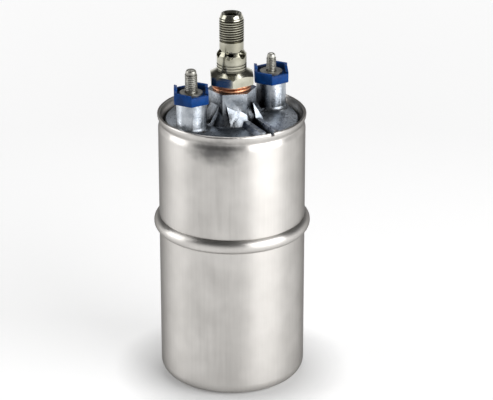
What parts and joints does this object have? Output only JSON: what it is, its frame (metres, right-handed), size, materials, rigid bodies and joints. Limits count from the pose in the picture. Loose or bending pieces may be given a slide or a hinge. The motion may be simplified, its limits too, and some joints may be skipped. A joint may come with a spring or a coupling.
{
  "type": "electric fuel pump",
  "caption": "Cylindrical roller-cell fuel pump in a beaded aluminium can, with two insulated terminal studs, an outlet check valve fitting and a threaded inlet in its base.",
  "frame": {"origin": "on the can's axis, at the plane that the pump stands on", "axes": "+Z along the can's axis towards the outlet fitting, X through the two terminal towers, the larger stud at -X"},
  "size_m": [0.0644, 0.0644, 0.1566],
  "materials": {
    "drawn_aluminium": "satin, deep drawn",
    "die_cast_aluminium": "as cast, turned face",
    "blue_plastic": "moulded",
    "zinc_plated_steel": "dull zinc",
    "nickel_plated_steel": "nickel plated, turned",
    "copper": "bare copper",
    "brass": "stamped",
    "bronze": "sintered",
    "seal_rubber": "moulded",
    "dark_plastic": "moulded",
    "spring_steel": "drawn wire and strip",
    "ground_steel": "ground",
    "lamination_steel": "stacked sheet",
    "ferrite": "ground",
    "carbon": "pressed carbon"
  },
  "bodies": {
    "housing": {"can": "drawn_aluminium", "end_cover": "die_cast_aluminium", "cover_seal": "seal_rubber", "insulator_large": "blue_plastic", "insulator_small": "blue_plastic", "terminal_stud_large": "zinc_plated_steel", "terminal_stud_small": "zinc_plated_steel", "terminal_washer_large": "zinc_plated_steel", "terminal_washer_small": "zinc_plated_steel", "contact_straps": "brass", "sealing_washer": "copper", "outlet_fitting": "nickel_plated_steel", "valve_seat": "brass", "check_valve_spring": "spring_steel", "brush_holder": "dark_plastic", "brush_spring_left": "spring_steel", "brush_spring_right": "spring_steel", "flux_ring": "zinc_plated_steel", "magnet_front": "ferrite", "magnet_rear": "ferrite", "magnet_clips": "spring_steel", "upper_bearing": "bronze", "lower_bearing": "bronze", "pump_ring": "ground_steel", "inlet_plate": "ground_steel", "outlet_plate": "ground_steel", "plate_screws": "zinc_plated_steel", "relief_spring": "spring_steel", "inlet_cover": "die_cast_aluminium", "inlet_seal": "seal_rubber", "inlet_strainer": "brass"},
    "armature": {"armature_shaft": "ground_steel", "armature_core": "lamination_steel", "armature_windings": "copper", "commutator_hub": "dark_plastic", "commutator_bars": "copper", "thrust_washer": "dark_plastic", "drive_coupling": "dark_plastic", "pump_rotor": "ground_steel", "pump_rollers": "ground_steel"},
    "check_valve": {"check_valve_poppet": "brass"},
    "relief_valve": {"relief_ball": "ground_steel"},
    "left_brush": {"brush_left": "carbon"},
    "right_brush": {"brush_right": "carbon"}
  },
  "joints": [
    {"name": "armature_spin", "type": "hinge", "parent": "housing", "child": "armature", "pos_m": [0, 0, 0.06], "axis": [0, 0, 1], "continuous": true},
    {"name": "check_valve_lift", "type": "slide", "parent": "housing", "child": "check_valve", "axis": [0, 0, 1], "range_m": [0, 0.0016], "stiffness_N_per_m": 400, "springref_m": -0.002, "deforming": ["check_valve_spring"]},
    {"name": "relief_valve_drop", "type": "slide", "parent": "housing", "child": "relief_valve", "axis": [0, 0, -1], "range_m": [0, 0.0015], "stiffness_N_per_m": 600, "springref_m": -0.003, "deforming": ["relief_spring"]},
    {"name": "left_brush_slide", "type": "slide", "parent": "housing", "child": "left_brush", "axis": [-1, 0, 0], "range_m": [0, 0.0025], "stiffness_N_per_m": 300, "springref_m": -0.003, "deforming": ["brush_spring_left"]},
    {"name": "right_brush_slide", "type": "slide", "parent": "housing", "child": "right_brush", "axis": [1, 0, 0], "range_m": [0, 0.0025], "stiffness_N_per_m": 300, "springref_m": -0.003, "deforming": ["brush_spring_right"]}
  ]
}
